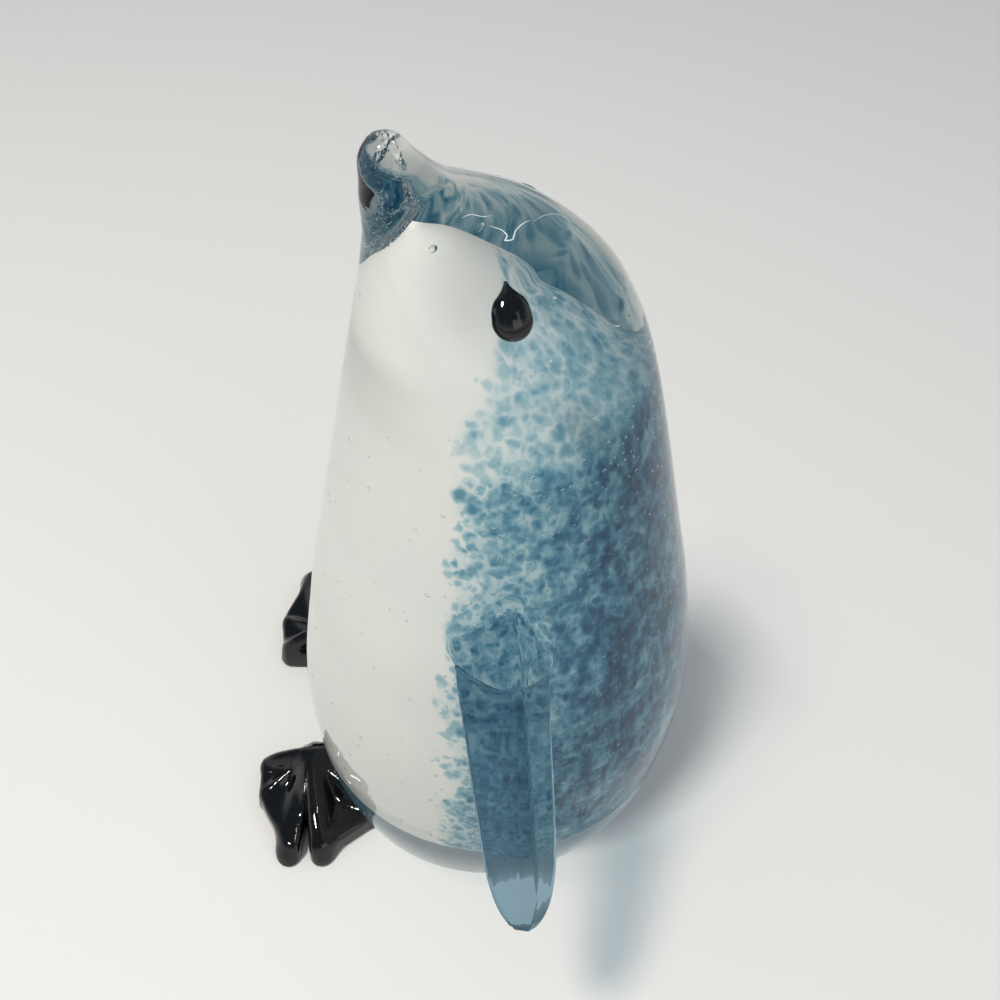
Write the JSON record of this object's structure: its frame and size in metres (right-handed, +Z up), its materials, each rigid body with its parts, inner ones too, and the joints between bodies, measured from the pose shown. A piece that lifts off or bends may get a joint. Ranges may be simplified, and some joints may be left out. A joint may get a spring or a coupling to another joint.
{
  "type": "glass penguin figurine",
  "caption": "Solid clear-glass penguin looking up, with an opal white and mottled blue core, clear flippers, black webbed feet and black drop eyes; stands on a flat ground base.",
  "frame": {"origin": "centre of the flat ground base, where the figurine stands", "axes": "+Z up from the base to the beak, -Y the way the belly and feet face, +X the penguin's left side"},
  "size_m": [0.1076, 0.079, 0.132],
  "materials": {
    "clear_glass": "fire-polished clear glass with seed bubbles",
    "white_opal_glass": "opaque white opal glass, sealed under clear glass",
    "blue_frit_glass": "opaque mottled blue frit glass, ragged at its edge",
    "black_glass": "glossy opaque black glass, fire-polished"
  },
  "bodies": {
    "root": {"clear_casing": "clear_glass", "white_front_layer": "white_opal_glass", "blue_back_layer": "blue_frit_glass", "clear_inner_gather": "clear_glass", "left_flipper": "clear_glass", "right_flipper": "clear_glass", "left_foot": "black_glass", "right_foot": "black_glass", "left_eye": "black_glass", "right_eye": "black_glass"}
  },
  "joints": []
}
